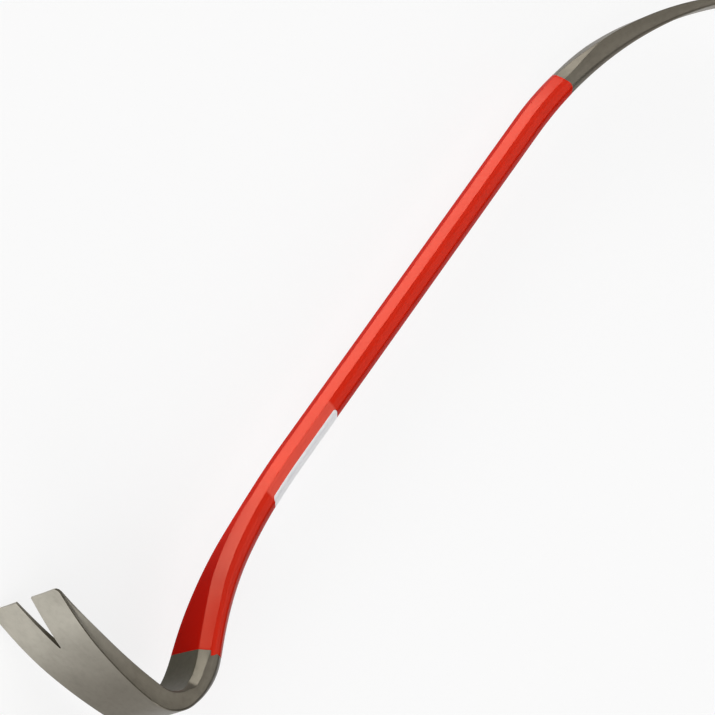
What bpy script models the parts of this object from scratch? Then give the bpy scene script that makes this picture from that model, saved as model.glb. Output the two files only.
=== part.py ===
"""Gooseneck wrecking bar: one steel forging with a slotted claw on a hook at one end and a curved chisel at the
other, an enamel coat over its shank, and a blank sticker on the coat.

The bar lies on its side. X runs along the shank towards the chisel, Y towards the side that the claw opens to, and Z
is square to the plane in which the bar bends. The origin is under the middle of its bounding box, on the ground.
"""

import math

import bmesh
import bpy
from mathutils import Vector

MM = 0.001

# Stock: an octagon, measured across its flats
SHANK_DEPTH = 18.0 * MM
SHANK_WIDTH = 15.4 * MM
SHANK_CHAMFER = 5.0 * MM
EDGE_RADIUS = 1.1 * MM
SHARP_CHAMFER = 0.5 * MM

# Centre line, from the straight shank out to each end
SHANK_LENGTH = 328.5 * MM
NECK_ENTRY_RADIUS = 700.0 * MM
NECK_ENTRY_ANGLE = 6.55
NECK_RADIUS = 275.0 * MM
NECK_ANGLE = 15.25
NECK_STRAIGHT = 10.6 * MM
HOOK_ENTRY_RADIUS = 57.0 * MM
HOOK_ENTRY_ANGLE = 36.6
HOOK_RADIUS = 26.0 * MM
HOOK_ANGLE = 59.8
CLAW_RADIUS = 318.0 * MM
CLAW_LENGTH = 98.8 * MM
CHISEL_RADIUS = 388.0 * MM
CHISEL_ANGLE = 35.0
CHISEL_STRAIGHT = 12.0 * MM

# Forged forms
NECK_FLARE_START = 33.0 * MM
NECK_END_DEPTH = 18.0 * MM
NECK_END_WIDTH = 36.7 * MM
NECK_END_CHAMFER = 4.5 * MM
HOOK_TURN_PLACE = 0.75
HOOK_TURN_DEPTH = 13.1 * MM
HOOK_TURN_WIDTH = 42.0 * MM
HOOK_TURN_CHAMFER = 2.2 * MM
HOOK_DEPTH = 12.2 * MM
HOOK_WIDTH = 43.5 * MM
HOOK_INNER_CHAMFER = 2.0 * MM
HOOK_OUTER_CHAMFER = 1.5 * MM
CLAW_ROOT_DEPTH = 12.8 * MM
CLAW_ROOT_WIDTH = 46.5 * MM
CLAW_MIDDLE_DEPTH = 10.0 * MM
CLAW_TIP_WIDTH = 67.8 * MM
CLAW_TIP_DEPTH = 1.4 * MM
CLAW_TIP_SWEEP = 1.2 * MM
CHISEL_FACET_START = 49.0 * MM
CHISEL_START_DEPTH = 16.7 * MM
CHISEL_START_WIDTH = 16.0 * MM
CHISEL_START_CHAMFER = 4.3 * MM
CHISEL_FACET_LENGTH = 102.0 * MM
CHISEL_FACET_DEPTH = 13.8 * MM
CHISEL_FACET_WIDTH = 17.4 * MM
CHISEL_FACET_CHAMFER = 3.0 * MM
CHISEL_TIP_WIDTH = 22.0 * MM
CHISEL_BEVEL_DEPTH = 3.0 * MM
CHISEL_TIP_DEPTH = 1.4 * MM
CHISEL_BEVEL_LENGTH = 14.0 * MM

# Nail slot in the claw, upright at the outer face and bevelled from the inner one
SLOT_MOUTH = 15.4 * MM
SLOT_LENGTH = 38.5 * MM
SLOT_ROOT_RADIUS = 0.8 * MM
SLOT_EDGE = 3.4 * MM
SLOT_BEVEL_ANGLE = 33.0

# Enamel, which fills a shallow relief round the shank so that it ends nearly flush with the bare steel
PAINT_THICKNESS = 0.5 * MM
PAINT_PROUD = 0.1 * MM
PAINT_ON_NECK = 161.7 * MM
PAINT_ON_CHISEL = 49.0 * MM
CLEARANCE = 0.3 * MM

# Sticker, wrapped round the side away from the claw
LABEL_THICKNESS = 0.25 * MM
LABEL_LENGTH = 84.0 * MM
LABEL_FROM_NECK = -40.0 * MM
LABEL_ON_SIDE = 1.6 * MM
LABEL_CORNER = 2.6 * MM

# Fineness of the facets
CORNER_STEPS = 2
ARC_STEP = 3.0
CLAW_STEP = 7.0 * MM
LABEL_CORNER_STEPS = 4
SLOT_ROOT_STEPS = 6


class Section:
    """The size of an octagon across its flats, with one chamfer on the claw's side and another on the far side."""

    def __init__(self, depth, width, inner, outer):
        self.values = (depth, width, inner, outer)

    def outline(self, offset=0.0):
        """Points (towards the claw, up), counter-clockwise from the top of the claw's side, grown by offset."""
        depth, width, inner, outer = self.values
        shift = offset * (2 - math.sqrt(2))
        half_depth = depth / 2 + offset
        half_width = width / 2 + offset
        inner += shift
        outer += shift
        corners = [
            (half_depth, half_width - inner),
            (half_depth - inner, half_width),
            (outer - half_depth, half_width),
            (-half_depth, half_width - outer),
            (-half_depth, outer - half_width),
            (outer - half_depth, -half_width),
            (half_depth - inner, -half_width),
            (half_depth, inner - half_width),
        ]
        return rounded(corners, EDGE_RADIUS + offset)


def rounded(corners, radius):
    """The polygon with each corner turned into an arc, smaller where its sides are short."""
    points = []
    count = len(corners)
    for index, corner in enumerate(corners):
        here = Vector(corner)
        before = Vector(corners[index - 1]) - here
        after = Vector(corners[(index + 1) % count]) - here
        turn = math.pi - before.angle(after)
        cut = min(radius * math.tan(turn / 2), 0.45 * before.length, 0.45 * after.length)
        start = here + before.normalized() * cut
        end = here + after.normalized() * cut
        for step in range(CORNER_STEPS + 1):
            share = step / CORNER_STEPS
            near = start.lerp(here, share)
            far = here.lerp(end, share)
            points.append(near.lerp(far, share))
    return points


def arc(radius, degrees, side):
    """A stretch of centre line as (length, curvature); side is 1 towards the claw and -1 away from it."""
    return radius * math.radians(degrees), side / radius


CLAW_PATH = [
    arc(NECK_ENTRY_RADIUS, NECK_ENTRY_ANGLE, -1),
    arc(NECK_RADIUS, NECK_ANGLE, -1),
    (NECK_STRAIGHT, 0.0),
    arc(HOOK_ENTRY_RADIUS, HOOK_ENTRY_ANGLE, 1),
    arc(HOOK_RADIUS, HOOK_ANGLE, 1),
    (CLAW_LENGTH, 1 / CLAW_RADIUS),
]
CHISEL_PATH = [
    arc(CHISEL_RADIUS, CHISEL_ANGLE, -1),
    (CHISEL_STRAIGHT, 0.0),
]


def lengths_to(path):
    """The distances along a path at which its stretches end."""
    total = 0.0
    ends = []
    for length, _ in path:
        total += length
        ends.append(total)
    return ends


NECK_ENTRY_END, NECK_BEND_END, HOOK_START, HOOK_MIDDLE, CLAW_ROOT, CLAW_TIP = lengths_to(CLAW_PATH)
HOOK_TURN = HOOK_START + HOOK_TURN_PLACE * (HOOK_MIDDLE - HOOK_START)
CHISEL_BEND_END, CHISEL_TIP = lengths_to(CHISEL_PATH)
CHISEL_BEVEL = CHISEL_TIP - CHISEL_BEVEL_LENGTH

STOCK = Section(SHANK_DEPTH, SHANK_WIDTH, SHANK_CHAMFER, SHANK_CHAMFER)
CLAW_FORM = [
    (0.0, STOCK),
    (NECK_FLARE_START, STOCK),
    (HOOK_START, Section(NECK_END_DEPTH, NECK_END_WIDTH, NECK_END_CHAMFER, NECK_END_CHAMFER)),
    (HOOK_TURN, Section(HOOK_TURN_DEPTH, HOOK_TURN_WIDTH, NECK_END_CHAMFER, HOOK_TURN_CHAMFER)),
    (HOOK_MIDDLE, Section(HOOK_DEPTH, HOOK_WIDTH, HOOK_INNER_CHAMFER, HOOK_OUTER_CHAMFER)),
    (CLAW_ROOT, Section(CLAW_ROOT_DEPTH, CLAW_ROOT_WIDTH, SHARP_CHAMFER, SHARP_CHAMFER)),
    (
        CLAW_ROOT + CLAW_LENGTH / 2,
        Section(CLAW_MIDDLE_DEPTH, (CLAW_ROOT_WIDTH + CLAW_TIP_WIDTH) / 2, SHARP_CHAMFER, SHARP_CHAMFER),
    ),
    (CLAW_TIP, Section(CLAW_TIP_DEPTH, CLAW_TIP_WIDTH, 0.3 * CLAW_TIP_DEPTH, 0.3 * CLAW_TIP_DEPTH)),
]
CHISEL_FORM = [
    (0.0, STOCK),
    (CHISEL_FACET_START, Section(CHISEL_START_DEPTH, CHISEL_START_WIDTH, SHANK_CHAMFER, CHISEL_START_CHAMFER)),
    (CHISEL_FACET_LENGTH, Section(CHISEL_FACET_DEPTH, CHISEL_FACET_WIDTH, SHARP_CHAMFER, CHISEL_FACET_CHAMFER)),
    (CHISEL_BEVEL, Section(CHISEL_BEVEL_DEPTH, CHISEL_TIP_WIDTH, SHARP_CHAMFER, SHARP_CHAMFER)),
    (CHISEL_TIP, Section(CHISEL_TIP_DEPTH, CHISEL_TIP_WIDTH, 0.3 * CHISEL_TIP_DEPTH, 0.3 * CHISEL_TIP_DEPTH)),
]


def place(path, distance, along):
    """The point and the heading at a distance out from the shank's end; along is 1 towards +X and -1 towards -X."""
    point = Vector((along * SHANK_LENGTH / 2, 0.0))
    heading = 0.0
    for length, curvature in path:
        run = min(length, distance)
        turn = curvature * run
        chord = run if curvature == 0 else 2 * math.sin(turn / 2) / curvature
        middle = heading + turn / 2
        point += chord * Vector((along * math.cos(middle), math.sin(middle)))
        heading += turn
        distance -= run
        if distance <= 0:
            break
    return point, heading


def slopes(places, values):
    """A slope at each place for a smooth curve that never swings past the values."""
    steps = [(b - a) / (q - p) for a, b, p, q in zip(values, values[1:], places, places[1:])]
    inner = [0.0 if a * b <= 0 else 2 * a * b / (a + b) for a, b in zip(steps, steps[1:])]
    return [steps[0]] + inner + [steps[-1]]


def section_at(form, distance):
    """The section between the ones that a form names, as a smooth blend."""
    places = [place_along for place_along, _ in form]
    index = max(i for i in range(len(form) - 1) if i == 0 or distance >= places[i])
    low, high = places[index], places[index + 1]
    span = high - low
    t = (distance - low) / span
    blended = []
    for k in range(4):
        values = [section.values[k] for _, section in form]
        tangent = slopes(places, values)
        tangent[0] = 0.0
        rise = values[index + 1] - values[index]
        blended.append(
            values[index]
            + t * t * (3 - 2 * t) * rise
            + span * t * (1 - t) * ((1 - t) * tangent[index] - t * tangent[index + 1])
        )
    return Section(*blended)


class Station:
    """A cross-section of the bar, by its distance along the centre line: negative on the neck, positive to the chisel."""

    def __init__(self, distance):
        out = abs(distance) - SHANK_LENGTH / 2
        along = 1 if distance > 0 else -1
        path, form = (CHISEL_PATH, CHISEL_FORM) if distance > 0 else (CLAW_PATH, CLAW_FORM)
        self.point, heading = place(path, max(out, 0.0), along)
        self.point.x += along * min(out, 0.0)
        self.inward = Vector((-along * math.sin(heading), math.cos(heading)))
        self.outward = Vector((along * math.cos(heading), math.sin(heading)))
        self.section = STOCK if out <= 0 else section_at(form, out)
        self.sweep = 0.0
        if along < 0 and out > CLAW_TIP - SLOT_LENGTH:
            self.sweep = CLAW_TIP_SWEEP * ((out - CLAW_TIP + SLOT_LENGTH) / SLOT_LENGTH) ** 2

    def position(self, inward, up):
        """A point of the section in space; towards the claw's tip the ring bows back at its sides."""
        half_width = self.section.values[1] / 2
        back = self.sweep * (up / half_width) ** 2
        flat = self.point + inward * self.inward - back * self.outward
        return Vector((flat.x, flat.y, up))

    def ring(self, offset=0.0):
        return [self.position(a, b) for a, b in self.section.outline(offset)]


def spread(ends):
    """Distances out from the shank's end, close together where the bar bends or changes its form."""
    marks = [0.0]
    for start, end, step in ends:
        count = max(1, math.ceil((end - start) / step))
        marks += [start + (end - start) * i / count for i in range(1, count + 1)]
    return marks


CLAW_MARKS = spread(
    [
        (0.0, NECK_ENTRY_END, NECK_ENTRY_RADIUS * math.radians(ARC_STEP) / 2),
        (NECK_ENTRY_END, NECK_BEND_END, NECK_RADIUS * math.radians(ARC_STEP) / 2),
        (NECK_BEND_END, HOOK_START, NECK_STRAIGHT / 2),
        (HOOK_START, HOOK_MIDDLE, HOOK_ENTRY_RADIUS * math.radians(ARC_STEP)),
        (HOOK_MIDDLE, CLAW_ROOT, HOOK_RADIUS * math.radians(ARC_STEP) * 1.3),
        (CLAW_ROOT, CLAW_TIP, CLAW_STEP),
    ]
)
CHISEL_MARKS = spread(
    [
        (0.0, CHISEL_BEND_END, CHISEL_RADIUS * math.radians(ARC_STEP) / 2),
        (CHISEL_BEND_END, CHISEL_BEVEL, CLAW_STEP),
        (CHISEL_BEVEL, CHISEL_TIP, CHISEL_BEVEL_LENGTH / 2),
    ]
)
DISTANCES = [-SHANK_LENGTH / 2 - mark for mark in reversed(CLAW_MARKS)]
DISTANCES += [SHANK_LENGTH / 2 + mark for mark in CHISEL_MARKS]

PAINT_START = -SHANK_LENGTH / 2 - PAINT_ON_NECK
PAINT_END = SHANK_LENGTH / 2 + PAINT_ON_CHISEL
PAINT_FLOOR = PAINT_PROUD - PAINT_THICKNESS
RELIEF = PAINT_FLOOR - CLEARANCE


def between(low, high):
    """The bar's own distances that lie clear inside a stretch."""
    margin = EDGE_RADIUS
    return [d for d in DISTANCES if low + margin < d < high - margin]


def new_object(name, mesh_builder, material):
    builder = bmesh.new()
    mesh_builder(builder)
    bmesh.ops.triangulate(builder, faces=[f for f in builder.faces if len(f.verts) > 4])
    bmesh.ops.recalc_face_normals(builder, faces=builder.faces)
    if builder.calc_volume(signed=True) < 0:
        bmesh.ops.reverse_faces(builder, faces=builder.faces)
    mesh = bpy.data.meshes.new(name)
    builder.to_mesh(mesh)
    builder.free()
    mesh.shade_smooth()
    mesh.set_sharp_from_angle(angle=math.radians(25))
    if material:
        mesh.materials.append(material)
    obj = bpy.data.objects.new(name, mesh)
    bpy.context.scene.collection.objects.link(obj)
    return obj


def bridge(builder, first, second, closed=True):
    """Quads between two rows of vertices of equal length."""
    count = len(first)
    for i in range(count if closed else count - 1):
        j = (i + 1) % count
        builder.faces.new((first[i], first[j], second[j], second[i]))


def rows_of(builder, rings):
    return [[builder.verts.new(p) for p in ring] for ring in rings]


def build_bar(builder):
    """One loft from the claw's tip to the chisel's edge, stepped in where the enamel lies."""
    rings = [Station(d).ring() for d in DISTANCES if d < PAINT_START - EDGE_RADIUS]
    rings.append(Station(PAINT_START - CLEARANCE).ring())
    rings.append(Station(PAINT_START - CLEARANCE).ring(RELIEF))
    rings += [Station(d).ring(RELIEF) for d in between(PAINT_START, PAINT_END)]
    rings.append(Station(PAINT_END + CLEARANCE).ring(RELIEF))
    rings.append(Station(PAINT_END + CLEARANCE).ring())
    rings += [Station(d).ring() for d in DISTANCES if d > PAINT_END + EDGE_RADIUS]
    rows = rows_of(builder, rings)
    for first, second in zip(rows, rows[1:]):
        bridge(builder, first, second)
    builder.faces.new(rows[0])
    builder.faces.new(list(reversed(rows[-1])))


def build_paint(builder):
    """A thin sleeve, open at both ends."""
    distances = [PAINT_START] + between(PAINT_START, PAINT_END) + [PAINT_END]
    outside = rows_of(builder, [Station(d).ring(PAINT_PROUD) for d in distances])
    inside = rows_of(builder, [Station(d).ring(PAINT_FLOOR) for d in distances])
    for rows in (outside, inside):
        for first, second in zip(rows, rows[1:]):
            bridge(builder, first, second)
    bridge(builder, outside[0], inside[0])
    bridge(builder, outside[-1], inside[-1])


def label_girth(offset):
    """The part of the section's outline that the sticker covers, from the upper side round to the lower one."""
    outline = STOCK.outline(offset)
    corner = CORNER_STEPS + 1
    return outline[2 * corner : 6 * corner]


def label_row(distance, offset, margin):
    """The sticker's cross-section at one place, with its ends drawn in by margin."""
    station = Station(distance)
    girth = label_girth(offset)
    reach = LABEL_ON_SIDE - margin
    first, last = girth[0], girth[-1]
    points = [(first[0] + reach, first[1])] + list(girth) + [(last[0] + reach, last[1])]
    return [station.position(a, b) for a, b in points]


def build_label(builder):
    """A thin strip with round corners, wrapped round the side away from the claw."""
    start = -SHANK_LENGTH / 2 + LABEL_FROM_NECK
    end = start + LABEL_LENGTH
    places = []
    for step in range(LABEL_CORNER_STEPS + 1):
        angle = math.radians(90) * step / LABEL_CORNER_STEPS
        places.append((LABEL_CORNER * (1 - math.cos(angle)), LABEL_CORNER * (1 - math.sin(angle))))
    rows = [(start + along, margin) for along, margin in places]
    rows += [(d, 0.0) for d in between(start + LABEL_CORNER, end - LABEL_CORNER)]
    rows += [(end - along, margin) for along, margin in reversed(places)]
    floor = PAINT_PROUD + CLEARANCE
    under = rows_of(builder, [label_row(d, floor, m) for d, m in rows])
    over = rows_of(builder, [label_row(d, floor + LABEL_THICKNESS, m) for d, m in rows])
    for sheet in (under, over):
        for first, second in zip(sheet, sheet[1:]):
            bridge(builder, first, second, closed=False)
    for edge in (0, -1):
        bridge(builder, under[edge], over[edge], closed=False)
        bridge(builder, [row[edge] for row in under], [row[edge] for row in over], closed=False)


def slot_outline(wider):
    """Points (back from the claw's tip, up) round the slot, each side moved out by a margin."""
    half_angle = math.atan2(SLOT_MOUTH / 2 - SLOT_ROOT_RADIUS, SLOT_LENGTH)
    root_centre = SLOT_LENGTH - SLOT_ROOT_RADIUS
    root_radius = SLOT_ROOT_RADIUS + wider
    outline = []
    for step in range(SLOT_ROOT_STEPS + 1):
        angle = -math.pi / 2 + half_angle + (math.pi - 2 * half_angle) * step / SLOT_ROOT_STEPS
        outline.append((root_centre + root_radius * math.cos(angle), root_radius * math.sin(angle)))
    beyond = SLOT_LENGTH / 4
    side = SLOT_MOUTH / 2 + beyond * math.tan(half_angle) + wider / math.cos(half_angle)
    return outline + [(-beyond, side), (-beyond, -side)]


def build_slot(builder):
    """A wedge through the claw, upright from the outer face to the slot's edge and then flaring out."""
    tip = Station(-SHANK_LENGTH / 2 - CLAW_TIP)
    middle = Station(-SHANK_LENGTH / 2 - CLAW_TIP + SLOT_LENGTH / 2)
    upright = slot_outline(0.0)
    flared = slot_outline(CLAW_ROOT_DEPTH / math.tan(math.radians(SLOT_BEVEL_ANGLE)))
    edge_levels = []
    for back, _ in upright:
        station = Station(-SHANK_LENGTH / 2 - CLAW_TIP + max(back, 0.0))
        outer_face = station.point - station.section.values[0] / 2 * station.inward
        edge_levels.append((outer_face - tip.point).dot(middle.inward) + SLOT_EDGE)
    below = -CLAW_ROOT_DEPTH - SLOT_LENGTH / 2
    levels = [
        (upright, [below] * len(upright)),
        (upright, edge_levels),
        (flared, [level + CLAW_ROOT_DEPTH for level in edge_levels]),
    ]
    rings = []
    for outline, heights in levels:
        ring = []
        for (back, up), height in zip(outline, heights):
            flat = tip.point + height * middle.inward - back * middle.outward
            ring.append(Vector((flat.x, flat.y, up)))
        rings.append(ring)
    rows = rows_of(builder, rings)
    for first, second in zip(rows, rows[1:]):
        bridge(builder, first, second)
    builder.faces.new(rows[0])
    builder.faces.new(list(reversed(rows[-1])))


def material(name, colour, metallic, roughness):
    made = bpy.data.materials.new(name)
    made.use_nodes = True
    shader = made.node_tree.nodes["Principled BSDF"]
    shader.inputs["Base Color"].default_value = (*colour, 1.0)
    shader.inputs["Metallic"].default_value = metallic
    shader.inputs["Roughness"].default_value = roughness
    made.diffuse_color = (*colour, 1.0)
    return made


def cut(target, cutter):
    cutter.hide_render = True
    cutter.display_type = "WIRE"
    modifier = target.modifiers.new("nail_slot", "BOOLEAN")
    modifier.operation = "DIFFERENCE"
    modifier.solver = "EXACT"
    modifier.object = cutter


def seat_on_ground(objects):
    """Moves the bar so that the origin is under the middle of its bounding box, at its lowest point."""
    points = [vertex.co for obj in objects for vertex in obj.data.vertices]
    low = Vector([min(p[axis] for p in points) for axis in range(3)])
    high = Vector([max(p[axis] for p in points) for axis in range(3)])
    shift = -(low + high) / 2
    shift.z = -low.z
    return shift


def main():
    for obj in list(bpy.data.objects):
        bpy.data.objects.remove(obj, do_unlink=True)
    steel = material("lacquered_steel", (0.33, 0.31, 0.26), 0.85, 0.42)
    red = material("red_enamel", (0.72, 0.045, 0.015), 0.0, 0.3)
    white = material("white_film", (0.86, 0.87, 0.88), 0.0, 0.45)
    bar = new_object("forged_bar", build_bar, steel)
    paint = new_object("paint_coat", build_paint, red)
    label = new_object("label", build_label, white)
    slot = new_object("nail_slot_cutter", build_slot, None)
    cut(bar, slot)
    shift = seat_on_ground([bar, paint, label])
    for obj in (bar, paint, label, slot):
        obj.location = shift


main()
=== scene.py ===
"""Gooseneck wrecking bar, lying on its side on a pale studio floor.

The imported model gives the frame. The bar, its enamel and its sticker are built again here, from the same real sizes,
with finer curves, soft edges, rounded prongs and a hand-masked paint line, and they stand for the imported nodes.
"""

import math

import bmesh
import bpy
from mathutils import Matrix, Vector


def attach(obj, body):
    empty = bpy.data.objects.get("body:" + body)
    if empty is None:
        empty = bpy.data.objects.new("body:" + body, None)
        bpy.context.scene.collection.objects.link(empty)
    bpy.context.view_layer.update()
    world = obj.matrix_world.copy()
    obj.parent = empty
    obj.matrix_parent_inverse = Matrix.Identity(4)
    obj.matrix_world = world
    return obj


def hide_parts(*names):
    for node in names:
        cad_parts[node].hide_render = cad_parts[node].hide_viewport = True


MM = 0.001

# Sizes of the bar, as in its source
SHANK_DEPTH = 18.0 * MM
SHANK_WIDTH = 15.4 * MM
SHANK_CHAMFER = 5.0 * MM
EDGE_RADIUS = 1.1 * MM
SHARP_CHAMFER = 0.5 * MM
SHANK_LENGTH = 328.5 * MM
NECK_ENTRY_RADIUS = 700.0 * MM
NECK_ENTRY_ANGLE = 6.55
NECK_RADIUS = 275.0 * MM
NECK_ANGLE = 15.25
NECK_STRAIGHT = 10.6 * MM
HOOK_ENTRY_RADIUS = 57.0 * MM
HOOK_ENTRY_ANGLE = 36.6
HOOK_RADIUS = 26.0 * MM
HOOK_ANGLE = 59.8
CLAW_RADIUS = 318.0 * MM
CLAW_LENGTH = 98.8 * MM
CHISEL_RADIUS = 388.0 * MM
CHISEL_ANGLE = 35.0
CHISEL_STRAIGHT = 12.0 * MM
NECK_FLARE_START = 33.0 * MM
NECK_END_DEPTH = 18.0 * MM
NECK_END_WIDTH = 36.7 * MM
NECK_END_CHAMFER = 4.5 * MM
HOOK_TURN_PLACE = 0.75
HOOK_TURN_DEPTH = 13.1 * MM
HOOK_TURN_WIDTH = 42.0 * MM
HOOK_TURN_CHAMFER = 2.2 * MM
HOOK_DEPTH = 12.2 * MM
HOOK_WIDTH = 43.5 * MM
HOOK_INNER_CHAMFER = 2.0 * MM
HOOK_OUTER_CHAMFER = 1.5 * MM
CLAW_ROOT_DEPTH = 12.8 * MM
CLAW_ROOT_WIDTH = 46.5 * MM
CLAW_MIDDLE_DEPTH = 10.0 * MM
CLAW_TIP_WIDTH = 67.8 * MM
CLAW_TIP_DEPTH = 1.4 * MM
CLAW_TIP_SWEEP = 1.2 * MM
TIP_CHAMFER_SHARE = 0.3
CHISEL_FACET_START = 49.0 * MM
CHISEL_FACET_LENGTH = 102.0 * MM
CHISEL_START_DEPTH = 16.7 * MM
CHISEL_START_WIDTH = 16.0 * MM
CHISEL_START_CHAMFER = 4.3 * MM
CHISEL_FACET_DEPTH = 13.8 * MM
CHISEL_FACET_WIDTH = 17.4 * MM
CHISEL_FACET_CHAMFER = 3.0 * MM
CHISEL_TIP_WIDTH = 22.0 * MM
CHISEL_BEVEL_DEPTH = 3.0 * MM
CHISEL_TIP_DEPTH = 1.4 * MM
CHISEL_BEVEL_LENGTH = 14.0 * MM
SLOT_MOUTH = 15.4 * MM
SLOT_LENGTH = 38.5 * MM
SLOT_ROOT_RADIUS = 0.8 * MM
SLOT_BEVEL_ANGLE = 33.0
PAINT_PROUD = 0.1 * MM
PAINT_ON_NECK = 161.7 * MM
PAINT_ON_CHISEL = 49.0 * MM
LABEL_LENGTH = 84.0 * MM
LABEL_FROM_NECK = -40.0 * MM
LABEL_ON_SIDE = 1.6 * MM
LABEL_CORNER = 2.6 * MM

# What only the dressed bar has.
# Softer edges: those of the far chamfers, with the sides and then with the far flat.
SOFT_RADIUS = 6.0 * MM
FAR_RADIUS = 2.4 * MM
SIDE_CROWN = 0.25 * MM
# The prongs' outer corners, and how far back their tip edge lies in the middle.
TIP_ROUND = 4.0 * MM
TIP_MIDDLE_SWEEP = 1.7 * MM
# How far above the outer face the slot's bevel starts.
SLOT_TIP_EDGE = 1.5 * MM
SLOT_ROOT_EDGE = 3.3 * MM
EASE_WIDTH = 0.35 * MM
EASE_STEPS = 2
EASE_ANGLE = 38.0
PAINT_DEPTH = 0.35 * MM
PAINT_SUNK = 0.02 * MM
PAINT_LIP = 0.6 * MM
LIP_SUNK = 0.05 * MM
LIP_BEND = 0.3
LIP_BEND_HEIGHT = 0.6
LABEL_THICKNESS = 0.15 * MM
LABEL_CLEAR = 0.01 * MM
NECK_MASK = [
    # place round the section in corners, how far the paint reaches beyond its line in millimetres
    (0.0, 2.0),
    (0.6, 1.4),
    (1.0, 0.9),
    (1.125, 4.6),
    (1.5, 3.4),
    (2.0, 1.3),
    (3.0, 0.2),
    (3.4, 1.1),
    (4.0, -0.6),
    (5.0, 1.2),
    (6.0, 0.8),
    (7.0, 0.2),
    (7.5, 1.0),
    (7.8, 1.6),
    (8.0, 2.0),
]
CHISEL_MASK = [
    (0.0, -2.5),
    (1.0, -2.5),
    (2.0, -0.2),
    (3.0, -0.8),
    (4.0, 0.5),
    (5.0, 0.9),
    (6.0, 0.1),
    (7.0, 1.0),
    (8.0, -2.5),
]
MASK_REACH = 14.0 * MM
NECK_HAND = [
    # distance from the shank's end, then how far the inner face moves towards the claw's side, and how much further
    # its chamfer reaches across that face and down the sides, all in millimetres
    (42.0, (0.0, 0.0, 0.0)),
    (64.0, (0.5, 1.2, 0.0)),
    (98.0, (0.65, 1.5, 0.5)),
    (114.0, (0.6, 1.4, 0.8)),
    (130.0, (0.2, 0.5, 1.9)),
    (146.0, (0.0, 0.0, 2.0)),
    (160.0, (0.0, 0.0, 1.7)),
    (178.0, (0.0, 0.0, 0.0)),
]

# Fineness
CORNER_STEPS = 5
CHAMFER_STEPS = 2
SIDE_STEPS = 8
FACE_STEPS = 12
NECK_STEP = 3.2 * MM
HOOK_STEP = 1.2 * MM
CLAW_STEP = 2.4 * MM
CHISEL_STEP = 4.0 * MM
SHANK_STEP = 20.0 * MM
LABEL_CORNER_STEPS = 8
LABEL_STEPS = 32
LABEL_ROWS = 16
SLOT_ROOT_STEPS = 10
SLOT_STEP = SLOT_LENGTH / 12
MASK_STEPS = 6
TIP_MARK_ANGLE = 15.0
BEVEL_STEPS = 4
SHARP_ANGLE = 32.0
# The largest share of a polygon's side that the rounding of one corner may take.
LONGEST_CUT = 0.45


def rounded(corners, radii):
    """Each corner of the polygon as a short arc of points."""
    arcs = []
    count = len(corners)
    for index, corner in enumerate(corners):
        here = Vector(corner)
        before = Vector(corners[index - 1]) - here
        after = Vector(corners[(index + 1) % count]) - here
        turn = math.pi - before.angle(after)
        cut = min(radii[index] * math.tan(turn / 2), LONGEST_CUT * before.length, LONGEST_CUT * after.length)
        start = here + before.normalized() * cut
        end = here + after.normalized() * cut
        arc_points = []
        for step in range(CORNER_STEPS + 1):
            share = step / CORNER_STEPS
            arc_points.append(start.lerp(here, share).lerp(here.lerp(end, share), share))
        arcs.append(arc_points)
    return arcs


FLAT_STEPS = (CHAMFER_STEPS, SIDE_STEPS, CHAMFER_STEPS, FACE_STEPS) * 2
EDGE_RADII = [EDGE_RADIUS, EDGE_RADIUS, SOFT_RADIUS, FAR_RADIUS, FAR_RADIUS, SOFT_RADIUS, EDGE_RADIUS, EDGE_RADIUS]


class Section:
    """An octagon across its flats, with one chamfer on the claw's side and another on the far side."""

    def __init__(self, depth, width, inner, outer):
        self.values = (depth, width, inner, outer)
        self.hand = (0.0, 0.0, 0.0)

    def outline(self, offset=0.0):
        """Points (towards the claw, up, corner share), the same count for every section."""
        depth, width, inner, outer = self.values
        face, rise, run = self.hand
        shift = offset * (2 - math.sqrt(2))
        half_depth = depth / 2 + offset
        half_width = width / 2 + offset
        inner += shift
        outer += shift
        corners = [
            (half_depth + face, half_width - inner - rise),
            (half_depth - inner - run, half_width),
            (outer - half_depth, half_width),
            (-half_depth, half_width - outer),
            (-half_depth, outer - half_width),
            (outer - half_depth, -half_width),
            (half_depth - inner - run, -half_width),
            (half_depth + face, inner + rise - half_width),
        ]
        arcs = rounded(corners, [radius + offset for radius in EDGE_RADII])
        points = []
        for index, arc_points in enumerate(arcs):
            for point in arc_points:
                points.append((point.x, point.y, float(index)))
            start = arc_points[-1]
            end = arcs[(index + 1) % len(arcs)][0]
            steps = FLAT_STEPS[index]
            crown = math.copysign(SIDE_CROWN, start.y) if steps == SIDE_STEPS else 0.0
            for step in range(1, steps):
                share = step / steps
                between = start.lerp(end, share)
                points.append((between.x, between.y + 4 * share * (1 - share) * crown, index + share))
        return points


def arc(radius, degrees, side):
    """An arc's length and its curvature, positive where it turns towards the claw's side."""
    return radius * math.radians(degrees), side / radius


CLAW_PATH = [
    arc(NECK_ENTRY_RADIUS, NECK_ENTRY_ANGLE, -1),
    arc(NECK_RADIUS, NECK_ANGLE, -1),
    (NECK_STRAIGHT, 0.0),
    arc(HOOK_ENTRY_RADIUS, HOOK_ENTRY_ANGLE, 1),
    arc(HOOK_RADIUS, HOOK_ANGLE, 1),
    (CLAW_LENGTH, 1 / CLAW_RADIUS),
]
CHISEL_PATH = [
    arc(CHISEL_RADIUS, CHISEL_ANGLE, -1),
    (CHISEL_STRAIGHT, 0.0),
]


def lengths_to(path):
    """How far out each stretch of a path ends."""
    total = 0.0
    ends = []
    for length, _ in path:
        total += length
        ends.append(total)
    return ends


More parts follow.
